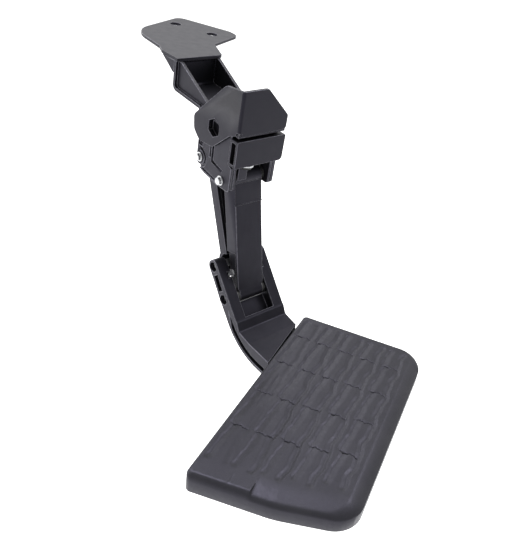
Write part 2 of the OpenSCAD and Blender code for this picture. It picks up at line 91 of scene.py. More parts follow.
def linkage_frame():
    """Frame of the linkage: x along the pivots and z up, so that the links swing in its y-z plane."""
    hinge = joint("front_link_fold")
    x = Vector(hinge["axis"]).normalized()
    z = Vector((0, 0, 1))
    y = z.cross(x)
    origin = Vector(hinge["pos_m"]) - y * FRONT_UPPER[0] * MM - z * FRONT_UPPER[1] * MM
    return frame_matrix(x, y, z, origin)


def tread_frame():
    """The tread's own tilted axes, with the origin at its square inner corner, and its size in
    millimetres."""
    tilt = Matrix.Rotation(math.radians(TREAD_FALL_X), 3, "Y") @ Matrix.Rotation(
        math.radians(-TREAD_FALL_Y), 3, "X")
    co = np.array([v.co for v in frame["nodes"]["tread"].data.vertices]) @ np.array(tilt)
    smallest, largest = co.min(0), co.max(0)
    m = tilt.to_4x4()
    m.translation = tilt @ Vector(largest)
    return m, (largest - smallest) / MM


LINK = linkage_frame()
ROW_TO_LINK = LINK.inverted()
TREAD, TREAD_SIZE = tread_frame()
TREAD_LENGTH, TREAD_WIDTH, TREAD_HEIGHT = TREAD_SIZE


def in_link(point):
    """A row-frame point in the millimetres of the linkage frame."""
    return (ROW_TO_LINK @ point) / MM


# ---------- camera ----------

# Place in metres, angles in degrees, and focal length and sensor width in millimetres
CAMERA_PLACE = (-0.8177, -0.4544, 0.2345)
CAMERA_AZIMUTH = -70.71
CAMERA_PITCH = 33.98
CAMERA_ROLL = -10.5
CAMERA_LENS = 41.89
CAMERA_SENSOR = 36


def add_camera():
    """The photo's camera: azimuth turns it about z, pitch looks down, and roll turns the picture."""
    azimuth, pitch, roll = (math.radians(a) for a in (CAMERA_AZIMUTH, CAMERA_PITCH, CAMERA_ROLL))
    forward = Vector((-math.sin(azimuth) * math.cos(pitch), math.cos(azimuth) * math.cos(pitch),
                      -math.sin(pitch)))
    level = Vector((math.cos(azimuth), math.sin(azimuth), 0))
    below = forward.cross(level)
    right = level * math.cos(roll) + below * math.sin(roll)
    down = -level * math.sin(roll) + below * math.cos(roll)
    data = bpy.data.cameras.new("camera")
    data.lens = CAMERA_LENS
    data.sensor_width = CAMERA_SENSOR
    data.clip_start = 0.05
    data.clip_end = 100
    cam = bpy.data.objects.new("camera", data)
    bpy.context.scene.collection.objects.link(cam)
    cam.matrix_world = frame_matrix(right, -down, -forward, Vector(CAMERA_PLACE))
    bpy.context.scene.camera = cam


# ---------- materials ----------

class Finish:
    """One procedural material round a Principled shader."""

    def __init__(self, name, **settings):
        self.material = bpy.data.materials.new(name + "_finish")
        self.material.use_nodes = True
        self.tree = self.material.node_tree
        self.tree.nodes.clear()
        self.shader = self.add("ShaderNodeBsdfPrincipled")
        output = self.add("ShaderNodeOutputMaterial")
        self.join(self.shader.outputs[0], output.inputs["Surface"])
        self.fill(self.shader, **settings)
        self.place = self.add("ShaderNodeTexCoord").outputs["Object"]

    def add(self, kind, **settings):
        """A new node, with its own settings but not its inputs."""
        node = self.tree.nodes.new(kind)
        for key, value in settings.items():
            setattr(node, key, value)
        return node

    def join(self, source, target):
        self.tree.links.new(source, target)

    def fill(self, node, **values):
        """Sets or links the inputs of a node by name."""
        for key, value in values.items():
            target = node.inputs[key.replace("_", " ")]
            if isinstance(value, bpy.types.NodeSocket):
                self.join(value, target)
            else:
                target.default_value = value
        return node

    def noise(self, size, detail=2.0, rough=0.5, stretch=None):
        """Noise whose grains are size metres across, from 0 to 1."""
        place = self.place
        if stretch:
            mapping = self.add("ShaderNodeMapping")
            mapping.inputs["Scale"].default_value = stretch
            self.join(place, mapping.inputs["Vector"])
            place = mapping.outputs[0]
        node = self.fill(self.add("ShaderNodeTexNoise"), Vector=place, Scale=1 / size, Detail=detail,
                         Roughness=rough)
        return node.outputs[0]

    def cells(self, size):
        """Rounded pits that are size metres across, from 0 in the middle."""
        node = self.add("ShaderNodeTexVoronoi", feature="SMOOTH_F1")
        self.fill(node, Vector=self.place, Scale=1 / size, Smoothness=0.3)
        return node.outputs[0]

    def product(self, a, b):
        node = self.add("ShaderNodeMath", operation="MULTIPLY")
        self.join(a, node.inputs[0])
        self.join(b, node.inputs[1])
        return node.outputs[0]

    def spread(self, value, low, high, from_low=0.3, from_high=0.7):
        """Maps from_low to from_high, which hold most of a noise, onto low to high, and clamps the rest."""
        node = self.fill(self.add("ShaderNodeMapRange"), Value=value, From_Min=from_low, From_Max=from_high,
                         To_Min=low, To_Max=high)
        return node.outputs[0]

    def blend(self, factor, a, b):
        """Mixes two colours, given as tuples or sockets, by a socket that goes from 0 to 1."""
        node = self.add("ShaderNodeMix", data_type="RGBA")
        self.join(factor, node.inputs[0])
        for socket, value in ((node.inputs[6], a), (node.inputs[7], b)):
            if isinstance(value, bpy.types.NodeSocket):
                self.join(value, socket)
            else:
                socket.default_value = (*value, 1)
        return node.outputs[2]

    def bump(self, height, depth, under=None, strength=1.0):
        """Bump of the given depth in metres, on top of another bump."""
        node = self.fill(self.add("ShaderNodeBump"), Height=height, Distance=depth, Strength=strength)
        if under is not None:
            self.join(under, node.inputs["Normal"])
        return node.outputs[0]

    def edges(self, radius):
        """1 within radius metres of a sharp edge, 0 on flat faces. The bounds are cosines of the angle
        between the bevelled normal and the true one."""
        sharp, flat = 0.86, 0.985
        bevel = self.add("ShaderNodeBevel", samples=4)
        bevel.inputs["Radius"].default_value = radius
        true = self.add("ShaderNodeNewGeometry")
        dot = self.add("ShaderNodeVectorMath", operation="DOT_PRODUCT")
        self.join(bevel.outputs[0], dot.inputs[0])
        self.join(true.outputs["Normal"], dot.inputs[1])
        return self.spread(dot.outputs["Value"], 1.0, 0.0, sharp, flat)

    def colour(self, value):
        self.join(value, self.shader.inputs["Base Color"])

    def rough(self, value):
        self.join(value, self.shader.inputs["Roughness"])

    def normal(self, value):
        self.join(value, self.shader.inputs["Normal"])


def grey(level, blue=1.0):
    """Grey whose blue is that many times the level."""
    return (level, level, level * blue)


# Tint of the black coats' highlights, which are cool in the photo
COOL = (0.92, 0.88, 1.2, 1)


def powder_coat():
    """Satin black powder coat: orange peel, slight mottling, and lighter edges that are a painted highlight."""
    f = Finish("powder_steel", IOR=1.5, Specular_IOR_Level=0.2, Specular_Tint=COOL)
    mottle = f.noise(0.02, 3)
    tone = f.blend(f.spread(mottle, 0, 1), grey(0.006, 1.2), grey(0.008, 1.15))
    # Painted highlight: the edges turn a lighter grey, broken up by noise.
    edge_highlight_mask = f.product(f.edges(0.0009), f.spread(f.noise(0.006, 4), 0.15, 0.75))
    f.colour(f.blend(edge_highlight_mask, tone, grey(0.11, 1.06)))
    f.rough(f.spread(f.noise(0.012, 4), 0.37, 0.43))
    peel = f.bump(f.noise(0.0016, 2), 0.00006, strength=0.45)
    f.normal(f.bump(f.noise(0.06, 0), 0.0001, under=peel, strength=0.1))
    return f.material


def coated_casting():
    """Die casting under a satin black coat: fine grain, flow marks, and lighter edges that are a painted
    highlight.
    """
    f = Finish("coated_casting", IOR=1.5, Specular_IOR_Level=0.24, Specular_Tint=COOL)
    flow = f.noise(0.016, 4, 0.6, stretch=(1, 1, 0.35))
    tone = f.blend(f.spread(flow, 0, 1), grey(0.005, 1.25), grey(0.010, 1.15))
    # Painted highlight: the edges turn a lighter grey, broken up by noise.
    edge_highlight_mask = f.product(f.edges(0.0013), f.spread(f.noise(0.004, 4), 0.4, 1.0))
    f.colour(f.blend(edge_highlight_mask, tone, grey(0.16, 1.08)))
    f.rough(f.spread(f.noise(0.009, 4), 0.36, 0.46))
    grain = f.bump(f.noise(0.0008, 3, 0.6), 0.00006, strength=0.5)
    f.normal(f.bump(flow, 0.0003, under=grain, strength=0.12))
    return f.material


def painted_highlight_edge():
    """Painted highlight for the rounded edges of the black coats: a lighter, glossier grey that stands in for the
    light they catch.
    """
    f = Finish("painted_highlight_edge", IOR=1.5, Specular_IOR_Level=0.55, Specular_Tint=COOL)
    f.colour(f.blend(f.spread(f.noise(0.005, 4, 0.6), 0, 1), grey(0.03, 1.12), grey(0.11, 1.06)))
    f.rough(f.spread(f.noise(0.003, 3), 0.3, 0.45))
    f.normal(f.bump(f.noise(0.0009, 2), 0.00004, strength=0.4))
    return f.material


def zinc_steel():
    """Bright zinc plate with fine turning marks and a little dulling."""
    f = Finish("zinc_steel", Metallic=1.0, Anisotropic=0.3)
    dull = f.noise(0.004, 4, 0.6)
    f.colour(f.blend(f.spread(dull, 0, 1), (0.42, 0.43, 0.45), (0.62, 0.62, 0.62)))
    f.rough(f.spread(f.noise(0.0022, 3), 0.3, 0.45))
    f.normal(f.bump(f.noise(0.0005, 2, stretch=(0.3, 0.3, 3)), 0.00003, strength=0.4))
    return f.material


def dark_plate():
    """Black zinc on washers and inner plates."""
    f = Finish("dark_plate", Metallic=0.8)
    f.colour(f.blend(f.spread(f.noise(0.003, 4), 0, 1), grey(0.05), grey(0.11)))
    f.rough(f.spread(f.noise(0.002, 3), 0.3, 0.5))
    f.normal(f.bump(f.noise(0.0006, 2), 0.00003, strength=0.4))
    return f.material


def bush_nylon():
    """Dark grey nylon of the bushes."""
    f = Finish("bush_nylon", IOR=1.53)
    f.colour(f.blend(f.spread(f.noise(0.003, 3), 0, 1), grey(0.03), grey(0.05)))
    f.rough(f.spread(f.noise(0.002, 3), 0.4, 0.55))
    f.normal(f.bump(f.noise(0.0005, 2), 0.00002, strength=0.4))
    return f.material


def buffer_rubber():
    """Matt black rubber with a coarse skin."""
    f = Finish("buffer_rubber", IOR=1.5, Specular_IOR_Level=0.3)
    f.colour(f.blend(f.spread(f.noise(0.003, 4), 0, 1), grey(0.012), grey(0.025)))
    f.rough(f.spread(f.noise(0.002, 3), 0.6, 0.8))
    f.normal(f.bump(f.noise(0.0007, 3), 0.00008, strength=0.5))
    return f.material


def base_aluminium():
    """Dark anodised aluminium, drawn along its length."""
    f = Finish("base_aluminium", Metallic=0.6)
    f.colour(f.blend(f.spread(f.noise(0.01, 4, stretch=(0.1, 1, 1)), 0, 1), grey(0.04), grey(0.07)))
    f.rough(f.spread(f.noise(0.003, 3), 0.35, 0.5))
    f.normal(f.bump(f.noise(0.0009, 3), 0.00005, strength=0.4))
    return f.material


def tread_plastic():
    """Glass-filled nylon with a spark-eroded texture, lighter specks and uneven roughness."""
    f = Finish("tread_plastic", IOR=1.5, Specular_IOR_Level=0.34, Specular_Tint=COOL, Sheen_Weight=0.03,
               Sheen_Roughness=0.5)
    cloud = f.noise(0.03, 4, 0.6)
    tone = f.blend(f.spread(cloud, 0, 1), grey(0.014, 1.06), grey(0.020, 1.04))
    speck = f.spread(f.noise(0.0009, 2), 0, 0.35, 0.55, 0.75)
    f.colour(f.blend(speck, tone, grey(0.04, 1.03)))
    f.rough(f.spread(f.noise(0.004, 4), 0.36, 0.48))
    coarse = f.bump(f.cells(0.0011), 0.00006, strength=0.4)
    f.normal(f.bump(f.noise(0.0005, 2), 0.00004, under=coarse, strength=0.4))
    return f.material


def make_materials():
    """The materials by the name of their slot, or by their own name where no slot has them."""
    return {"powder_steel": powder_coat(), "coated_casting": coated_casting(), "zinc_steel": zinc_steel(),
            "bush_nylon": bush_nylon(), "buffer_rubber": buffer_rubber(), "base_aluminium": base_aluminium(),
            "tread_plastic": tread_plastic(), "dark_plate": dark_plate(), "painted_highlight_edge": painted_highlight_edge()}


# ---------- mesh helpers ----------

# Degrees between the faces of an edge: at least this for a fold, between these for a rounded edge, and more
# than this for an edge that stays crisp
FOLD_ANGLE = 50
ROUNDED_ANGLES = (55, 150)
CRISP_ANGLE = 32
# Most of a side edge's length that a rounding may take up, and the least share of its width worth making
ROOM_SHARE = 0.42
LEAST_SHARE = 0.1
# Cosine above which an edge counts as going on in the same line
SAME_LINE = 0.8
# Widths of the rounded edges in millimetres, on coated slots and on all other parts
COATED = {"powder_steel": 0.5, "coated_casting": 0.9}
SMALL = 0.35
EDGE_SEGMENTS = 2
FOLD_SEGMENTS = 6
# Metres within which points become one, in the moulded meshes and in the CAD, and degrees between CAD faces
# that belong to one flat face
MOULD_WELD = 2e-6
CAD_WELD = 2e-5
FLAT_ANGLE = 0.6


def add_piece(name, mesh, nodes, material=None, body=None):
    """Links a mesh as a piece that stands for CAD nodes. With no nodes it needs a material and a body."""
    piece = bpy.data.objects.new(name, mesh)
    bpy.context.scene.collection.objects.link(piece)
    first = nodes[0] if nodes else None
    slot = SLOT_OF[first] if first else material
    mesh.materials.append(MATERIALS[material or slot])
    if nodes:
        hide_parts(*nodes)
    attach(piece, body or BODY_OF[first])
    return piece


def weld_points(bm, distance):
    """Makes points within the distance one and takes away what has no size left."""
    bmesh.ops.remove_doubles(bm, verts=bm.verts, dist=distance)
    bmesh.ops.dissolve_degenerate(bm, edges=bm.edges, dist=distance / 2)


def mesh_from(name, points, faces, place, weld=False):
    """Smooth mesh from local millimetres, put in the row frame by the place matrix. With weld, points that
    touch become one."""
    co = np.asarray(points, float) * MM
    m = np.array(place)
    co = co @ m[:3, :3].T + m[:3, 3]
    mesh = bpy.data.meshes.new(name)
    mesh.from_pydata(co.tolist(), [], faces)
    bm = bmesh.new()
    bm.from_mesh(mesh)
    if weld:
        weld_points(bm, MOULD_WELD)
    bmesh.ops.recalc_face_normals(bm, faces=bm.faces)
    bm.to_mesh(mesh)
    bm.free()
    mesh.shade_smooth()
    return mesh


def clean_cad(node):
    """The CAD node's mesh, welded, with its flat faces made whole again."""
    bm = bmesh.new()
    bm.from_mesh(frame["nodes"][node].data)
    weld_points(bm, CAD_WELD)
    bmesh.ops.dissolve_limit(bm, angle_limit=math.radians(FLAT_ANGLE), verts=bm.verts, edges=bm.edges)
    return bm


def edge_room(edge):
    """Length of the shortest edge that leads away to the side from either end of this one."""
    line = (edge.verts[1].co - edge.verts[0].co).normalized()
    room = math.inf
    for vertex in edge.verts:
        for other in vertex.link_edges:
            away = other.other_vert(vertex).co - vertex.co
            if other is not edge and abs(away.normalized().dot(line)) < SAME_LINE:
                room = min(room, away.length)
    return room


def weigh_edges(bm, width):
    """Marks the edges to be rounded, with less width where there is no room for it, and the crisp ones."""
    least, most = ROUNDED_ANGLES
    layer = bm.edges.layers.float.new("bevel_weight_edge")
    for edge in bm.edges:
        angle = math.degrees(edge.calc_face_angle(0)) if len(edge.link_faces) == 2 else 0
        share = min(1.0, ROOM_SHARE * edge_room(edge) / (width * MM))
        if least < angle < most and share > LEAST_SHARE:
            edge[layer] = share
        elif angle > CRISP_ANGLE:
            edge.smooth = False


def round_folds(bm, bends):
    """Rounds the folded edges of a sheet. bends gives, for an edge's middle in linkage millimetres, the
    radius of the fold there, or 0."""
    folded = {}
    for edge in bm.edges:
        if len(edge.link_faces) == 2 and edge.calc_face_angle() > math.radians(FOLD_ANGLE):
            radius = bends(in_link((edge.verts[0].co + edge.verts[1].co) / 2))
            if radius:
                folded.setdefault(radius, []).append(edge)
    for radius, edges in folded.items():
        bmesh.ops.bevel(bm, geom=edges, offset=radius * MM, segments=FOLD_SEGMENTS, profile=0.5,
                        affect="EDGES", clamp_overlap=True)


def soften(node, width, bends=None, material=None):
    """Copy of a CAD node with its folds and its edges rounded, in its slot's material or in another."""
    bm = clean_cad(node)
    if bends:
        round_folds(bm, bends)
    weigh_edges(bm, width)
    mesh = bpy.data.meshes.new(node + "_soft")
    bm.to_mesh(mesh)
    bm.free()
    mesh.shade_smooth()
    piece = add_piece(node + "_finished", mesh, [node], material=material)
    bevel = piece.modifiers.new("edge", "BEVEL")
    bevel.width = width * MM
    bevel.segments = EDGE_SEGMENTS
    bevel.limit_method = "WEIGHT"
    # Coated parts get the painted highlight material on their rounded edges.
    if SLOT_OF[node] in COATED:
        mesh.materials.append(MATERIALS["painted_highlight_edge"])
        bevel.material = len(mesh.materials) - 1
    bevel.use_clamp_overlap = False
    bevel.loop_slide = False
    weighted = piece.modifiers.new("normals", "WEIGHTED_NORMAL")
    weighted.keep_sharp = True


# ---------- sheet metal and welds ----------

# Millimetres in the linkage frame: the bracket's plate and its lip, the sloping arm below it, the guard's
# outer faces, and the top of the front link's web
PLATE_TOP = 298
LIP_Y = 202.5
LIP_WELD_Y = 204.4
BRACKET_HALF = 34.25
SHEET_T = 4
ARM_Y = 75
ARM_Z = 249
ARM_SLOPE = 0.071
GUARD_X = -39
GUARD_Y = 67.3
GUARD_T = 3.5
WEB_TOP = (75.8, 156.5)
LINK_HALF = 22
# Radii of the folds, outside and inside the guard's and outside the bracket's, and how far an edge may be off
GUARD_FOLD = (6.5, 3.0)
BRACKET_FOLD = 4.5
NEAR = 0.2
# Ends of the beads along y at the guard's side and at the gussets, and along x at the guard's front
GUARD_SIDE_WELDS = ((80, 104), (122, 146))
GUARD_FRONT_WELDS = ((-28, -8), (6, 27))
GUSSET_WELD = (152, 198)
# y at which the arm's height is taken for the beads at the guard's front and at the foot of the lip
GUARD_FOOT_Y = 71
LIP_FOOT_Y = 204
# Radii of the beads
GUARD_BEAD = 2.2
GUSSET_BEAD = 1.5
LIP_BEAD = 1.8
PLATE_BEAD = 2
BLEND_BEAD = 1.1
# Points round a bead, the step along it, the length of its rounded ends in radii, and the fine and the coarse
# ripple in radians per millimetre
BEAD_SIDES = 12
BEAD_STEP = 0.6
BEAD_END = 1.6
FINE_RIPPLE = 2.6
COARSE_RIPPLE = 0.9


def guard_fold(point):
    """Radius of the guard's one fold, at the outside or the inside of the corner of its L."""
    x, y, _ = point
    outside, inside = GUARD_FOLD
    if x < GUARD_X + NEAR and y < GUARD_Y + NEAR:
        return outside
    at_inside = abs(x - GUARD_X - GUARD_T) < NEAR and abs(y - GUARD_Y - GUARD_T) < NEAR
    return inside if at_inside else 0


def bracket_fold(point):
    """Radius of the folds from the bracket's plate down into its two flanges."""
    x, y, z = point
    at_fold = abs(abs(x) - BRACKET_HALF) < NEAR and z > PLATE_TOP - NEAR and y > LIP_Y
    return BRACKET_FOLD if at_fold else 0


def tube_faces(loops, count, clockwise):
    """Quads between loops of count points each. clockwise is the way the points run, seen from the last
    loop."""
    faces = []
    for i in range(loops - 1):
        near, far = i * count, (i + 1) * count
        for j in range(count):
            a, b = j, (j + 1) % count
            if clockwise:
                a, b = b, a
            faces.append((near + a, near + b, far + b, far + a))
    return faces


def bead(name, start, end, radius, ripple=0.13, material="powder_steel", body="mount"):
    """Rippled bead along a line in linkage millimetres, half sunk in the corner or face that it lies on."""
    start, end = np.array(start, float), np.array(end, float)
    length = np.linalg.norm(end - start)
    along = (end - start) / length
    upright = abs(along[2]) > 0.9
    side = np.cross(along, (1.0, 0, 0) if upright else (0, 0, 1.0))
    side /= np.linalg.norm(side)
    up = np.cross(side, along)
    stations = np.linspace(0, length, int(length / BEAD_STEP) + 1)
    turns = np.linspace(0, 2 * math.pi, BEAD_SIDES, endpoint=False)
    points = []
    for s in stations:
        end_share = min(s, length - s) / (BEAD_END * radius)
        cap = math.sqrt(max(0.04, 1 - (1 - min(end_share, 1)) ** 2))
        fine, coarse = math.sin(s * FINE_RIPPLE), math.sin(s * COARSE_RIPPLE + length)
        r = radius * cap * (1 + ripple * fine + 0.4 * ripple * coarse)
        points += [start + along * (s + 0.25 * math.cos(t)) + (side * math.cos(t) + up * math.sin(t)) * r
                   for t in turns]
    caps = [tuple(range(BEAD_SIDES))[::-1], tuple(range(len(points) - BEAD_SIDES, len(points)))]
    faces = caps + tube_faces(len(stations), BEAD_SIDES, clockwise=False)
    add_piece(name, mesh_from(name, points, faces, LINK), [], material=material, body=body)


def arm_top(y):
    """Top of the arm's sloping floor."""
    return ARM_Z + ARM_SLOPE * (y - ARM_Y) + SHEET_T


def add_welds():
    """Beads that join the guard, the gussets, the lip and the plate to the arm and the bracket."""
    inside_x = GUARD_X + GUARD_T
    inside_y = GUARD_Y + GUARD_T
    for i, (y0, y1) in enumerate(GUARD_SIDE_WELDS, 1):
        bead(f"guard_side_weld_{i}", (inside_x, y0, arm_top(y0)), (inside_x, y1, arm_top(y1)), GUARD_BEAD)
    floor = arm_top(GUARD_FOOT_Y)
    for i, (x0, x1) in enumerate(GUARD_FRONT_WELDS, 1):
        bead(f"guard_front_weld_{i}", (x0, inside_y, floor), (x1, inside_y, floor), GUARD_BEAD)

    y0, y1 = GUSSET_WELD
    gusset = BRACKET_HALF - SHEET_T
    lip = gusset - SHEET_T
    under = PLATE_TOP - SHEET_T
    lip_foot = arm_top(LIP_FOOT_Y) + 6
    for s, side in ((-1, "left"), (1, "right")):
        bead(f"gusset_weld_{side}", (s * gusset, y0, arm_top(y0)), (s * gusset, y1, arm_top(y1)),
             GUSSET_BEAD)
        bead(f"lip_weld_{side}", (s * lip, LIP_WELD_Y, lip_foot), (s * lip, LIP_WELD_Y, under - 1),
             LIP_BEAD)
    bead("plate_weld", (-lip, LIP_WELD_Y, under), (lip, LIP_WELD_Y, under), PLATE_BEAD)


def add_link_step():
    """The raised line across the front link's web, where the barrel's blend ends."""
    y, z = WEB_TOP
    bead("front_link_blend_line", (-LINK_HALF, y, z), (LINK_HALF, y, z), BLEND_BEAD, ripple=0.03,
         material="coated_casting", body="front_link")


# ---------- tread ----------

# Millimetres in the tread's frame: u along it and v across it, both 0 at its square inner corner and negative
# inside, and height from its datum plane

# Sides run clockwise, seen from above, from the square inner corner: inset of the top surface inside the rim,
# depth of the rounded edge and its share of plain chamfer
TREAD_SIDES = ((2.5, 2.5, 0), (15, 9, 0.75), (6, 9, 0.3), (6, 9, 0.3), (2.5, 2.5, 0))
# Radii of the corners in the same order, for the rim and for the top surface, and the least one under the rim
RIM_RADII = (5, 28, 34, 120, 6)
TOP_RADII = (4, 18, 24, 120, 5)
LEAST_RADIUS = 1.5
# How much shorter the outer side is, and the bend in the slanting end: its inset and its share of the width
END_TAPER = 33
END_BEND = (11, 0.55)
# Ends of the notch that the knuckle leaves through, and the height of its top
NOTCH = (-121.9, -30.7)
NOTCH_TOP = -8.2
# Inset and height of the loops under the tread, from the middle outwards: those of the pocket's ceiling, then
# those of the skirt's lower edge, whose heights are above that edge
CEILING_LOOPS = ((15, -4), (15, -8), (4, -8))
FOOT_LOOPS = ((4, 0.8), (3.4, 0), (1.1, 0), (0.35, 0.35), (0, 1.2))
EDGE_LOOPS = 8
# Spacing of points along straight sides, and steps round each corner
SIDE_STEP = 2.6
CORNER_STEPS = 10
# Ends of the inner side's straight part: from the slanting end, and from the square corner
INNER_FAR_END = 14
INNER_NEAR_END = -7
# Points that are closer than this are one
SAME_POINT = 1e-6

# Blocks of the relief: columns run along u, and cross grooves part the blocks of a column
COLUMN_START = 16.5
COLUMN_PITCH = 29.4
COLUMNS = 5
FIRST_GROOVE = -49.5
GROOVES = 4
# Spacing of the grooves in the first column, and how much less it is in the last
GROOVE_PITCH = 62.9
GROOVE_PITCH_LOSS = 7.1
RELIEF_START = -8
# Across a column, from its centre: the inner valley and its slant over one block, the outer valley, the ends
# of the grooves, and the ends of the strip beside them and of the rows of points in it
INNER_LINE = 5.5
INNER_SLANT = 4
OUTER_LINE = -10.8
GROOVE_ENDS = (-12, 10.5)
STRIP_ENDS = (-12, 11)
ROW_ENDS = (-11.6, 10.8)
# Valleys and creases: width of the flank on the plus side, width on the minus side, and depth
INNER_VALLEY = (3.6, 7.5, 0.95)
INNER_CREASE = (1.2, 1.6, 0.18)
OUTER_VALLEY = (5.4, 4.4)
OUTER_DEPTH = 1.15
FIRST_OUTER_DEPTH = 0.4
GROOVE_CREASE = (1.2, 1.0, 1.5)
GROOVE_SINK = 0.4
MIDDLE_CREASE = (2.4, 5, 0.6)
ROLL_CREASE = (0.9, 0.9, 0.5)
CREASE_SHARPNESS = 1.3
# The crease in the first column: its ends along u and its line
MIDDLE_ENDS = (-205, -132)
MIDDLE_LINE = -20.5
# The top rolls down along the slanting end: from this v outwards, by this depth, fully within the first
# distance from the end and not at all beyond the second. Then the line of a crease there and its length
ROLL_START = -66
ROLL_DEPTH = 3.2
ROLL_EDGES = (6, 27)
ROLL_LINE = -43
ROLL_LINE_END = 18
# The dimple by the square corner, and the unevenness of the whole top
DIMPLE = (-16, -24)
DIMPLE_DEPTH = 0.35
UNEVEN_DEPTH = 0.05
# Spacing of the relief's points, the rows that replace them beside a cross groove, and how near a groove and
# the border the points of the grid may come
GRID_STEP = (1.3, 0.8)
GROOVE_ROWS = (-1.6, -0.9, -0.45, 0, 0.5, 1.1, 1.7)
GROOVE_CLEAR = 2.2
RIM_CLEAR = 0.7


def smooth_step(t):
    t = np.clip(t, 0, 1)
    return t * t * (3 - 2 * t)


def tread_corners():
    """Corners of the outline. The far end slants by END_TAPER, with a bend part of the way across."""
    bend_in, bend_at = END_BEND
    return np.array([(0, 0), (0, -TREAD_WIDTH), (END_TAPER - TREAD_LENGTH, -TREAD_WIDTH),
                     (bend_in - TREAD_LENGTH, -bend_at * TREAD_WIDTH), (-TREAD_LENGTH, 0)])


def end_distance(u, v):
    """Distance inside the slanting end of the tread."""
    corners = tread_corners()
    distances = []
    for start, end in ((corners[2], corners[3]), (corners[3], corners[4])):
        along = (end - start) / np.linalg.norm(end - start)
        distances.append((u - start[0]) * along[1] - (v - start[1]) * along[0])
    return np.minimum(*distances)


def groove_pitch(column):
    """Spacing of the cross grooves in a column, which shortens towards the outer edge."""
    return GROOVE_PITCH - GROOVE_PITCH_LOSS * (column / (COLUMNS - 1)) ** 2


def column_centre(column):
    return -COLUMN_START - COLUMN_PITCH * column


def groove_line(column, k, v):
    """Wavering line of a cross groove."""
    place = v + 7 * k + 11 * column
    return FIRST_GROOVE - k * groove_pitch(column) + np.sin(place * 0.5) + 0.5 * np.sin(place * 1.3)


def crease(distance, plus, minus, depth):
    """Depth of a V-shaped crease with a flank of its own width on each side."""
    t = np.abs(distance) / np.where(distance > 0, plus, minus)
    return depth * np.clip(1 - t, 0, 1) ** CREASE_SHARPNESS


def soft_valley(distance, plus, minus, depth):
    """Depth of a rounded valley with a flank of its own width on each side."""
    t = np.clip(np.abs(distance) / np.where(distance > 0, plus, minus), 0, 1)
    return depth * (0.5 + 0.5 * np.cos(np.pi * t))


def column_relief(z, column, u, v):
    """The height z less the valleys on both sides of a column's blocks and the cross grooves between them."""
    centre = column_centre(column)
    pitch = groove_pitch(column)
    row = (FIRST_GROOVE - u) / pitch
    along = row - np.floor(row)
    # The relief fades out at both ends of the column
    fade = smooth_step((RELIEF_START - u) / 6) * smooth_step((u - FIRST_GROOVE + GROOVES * pitch - 4) / 8)
    # The valleys waver along the column
    wave = 1.3 * np.sin(2 * np.pi * row + column) + 0.6 * np.sin(14.3 * row + 2 * column)
    ripple = 0.5 * np.sin(9.7 * row + 3 * column) + 0.3 * np.sin(23 * row + column)
    inner = v - centre - INNER_LINE - INNER_SLANT * along - ripple
    z = z - fade * (soft_valley(inner, *INNER_VALLEY) + crease(inner, *INNER_CREASE))
    outer_depth = FIRST_OUTER_DEPTH if column == 0 else OUTER_DEPTH
    z = z - fade * soft_valley(v - centre - OUTER_LINE - wave, *OUTER_VALLEY, outer_depth)
    # The cross grooves stop at the valleys, and the top sinks a little towards each from its plus side
    outer_end, inner_end = GROOVE_ENDS
    within = smooth_step((v - centre - outer_end) / 1.5) * smooth_step((centre + inner_end - v) / 1.5)
    for k in range(GROOVES):
        away = u - groove_line(column, k, v)
        z = z - within * crease(away, *GROOVE_CREASE)
        z = z - within * GROOVE_SINK * np.where(away > 0, np.exp(-np.abs(away) / 6), 0) * smooth_step(away)
    return z


def tread_height(u, v):
    """Height of the moulded top against its datum plane."""
    z = np.zeros_like(u)
    for column in range(COLUMNS):
        z = column_relief(z, column, u, v)
    far, near = MIDDLE_ENDS
    middle = smooth_step((u - far) / 12) * smooth_step((near - u) / 12)
    z -= middle * crease(v - MIDDLE_LINE, *MIDDLE_CREASE)
    edge = end_distance(u, v)
    low, high = ROLL_EDGES
    roll = ROLL_DEPTH * np.clip((high - edge) / (high - low), 0, 1) ** 1.7
    z -= roll * smooth_step((ROLL_START - v) / 0.8)
    z -= smooth_step((ROLL_LINE_END - edge) / 2) * crease(v - ROLL_LINE, *ROLL_CREASE)
    z -= DIMPLE_DEPTH * np.exp(-((u - DIMPLE[0]) ** 2 + (v - DIMPLE[1]) ** 2) / 14)
    uneven = np.sin(u / 17 + 1.3 * np.sin(v / 23)) + np.sin(v / 13 + 0.9 * np.sin(u / 31))
    return z + UNEVEN_DEPTH * uneven


def inner_side():
    """Places along the inner side, with each end of the notch for the knuckle twice."""
    stops = (INNER_FAR_END - TREAD_LENGTH, *NOTCH, INNER_NEAR_END)
    return np.concatenate([np.linspace(a, b, max(2, int((b - a) / SIDE_STEP)))
                           for a, b in zip(stops, stops[1:])])


def inset_corners(corners, along, insets):
    """Corners of the outline when each side is moved in by its inset."""
    inward = np.stack([along[:, 1], -along[:, 0]], 1)
    moved = corners + inward * np.array(insets)[:, None]
    tips = []
    for i in range(len(corners)):
        gap = moved[i] - moved[i - 1]
        cross = along[i - 1][0] * along[i][1] - along[i - 1][1] * along[i][0]
        t = (gap[0] * along[i][1] - gap[1] * along[i][0]) / cross
        tips.append(moved[i - 1] + along[i - 1] * t)
    return tips


def corner_arc(tip, before, after, radius):
    """Points round a corner of that radius, between the directions of its two sides."""
    u, v = -before, after
    half = math.acos(np.clip(u @ v, -1, 1)) / 2
    centre = tip + (u + v) / np.linalg.norm(u + v) * radius / math.sin(half)
    a, b = (tip + w * radius / math.tan(half) - centre for w in (u, v))
    turn = math.acos(np.clip(a @ b / radius ** 2, -1, 1))
    share = np.linspace(0, 1, CORNER_STEPS + 1)[:, None]
    return centre + (np.sin((1 - share) * turn) * a + np.sin(share * turn) * b) / math.sin(turn)


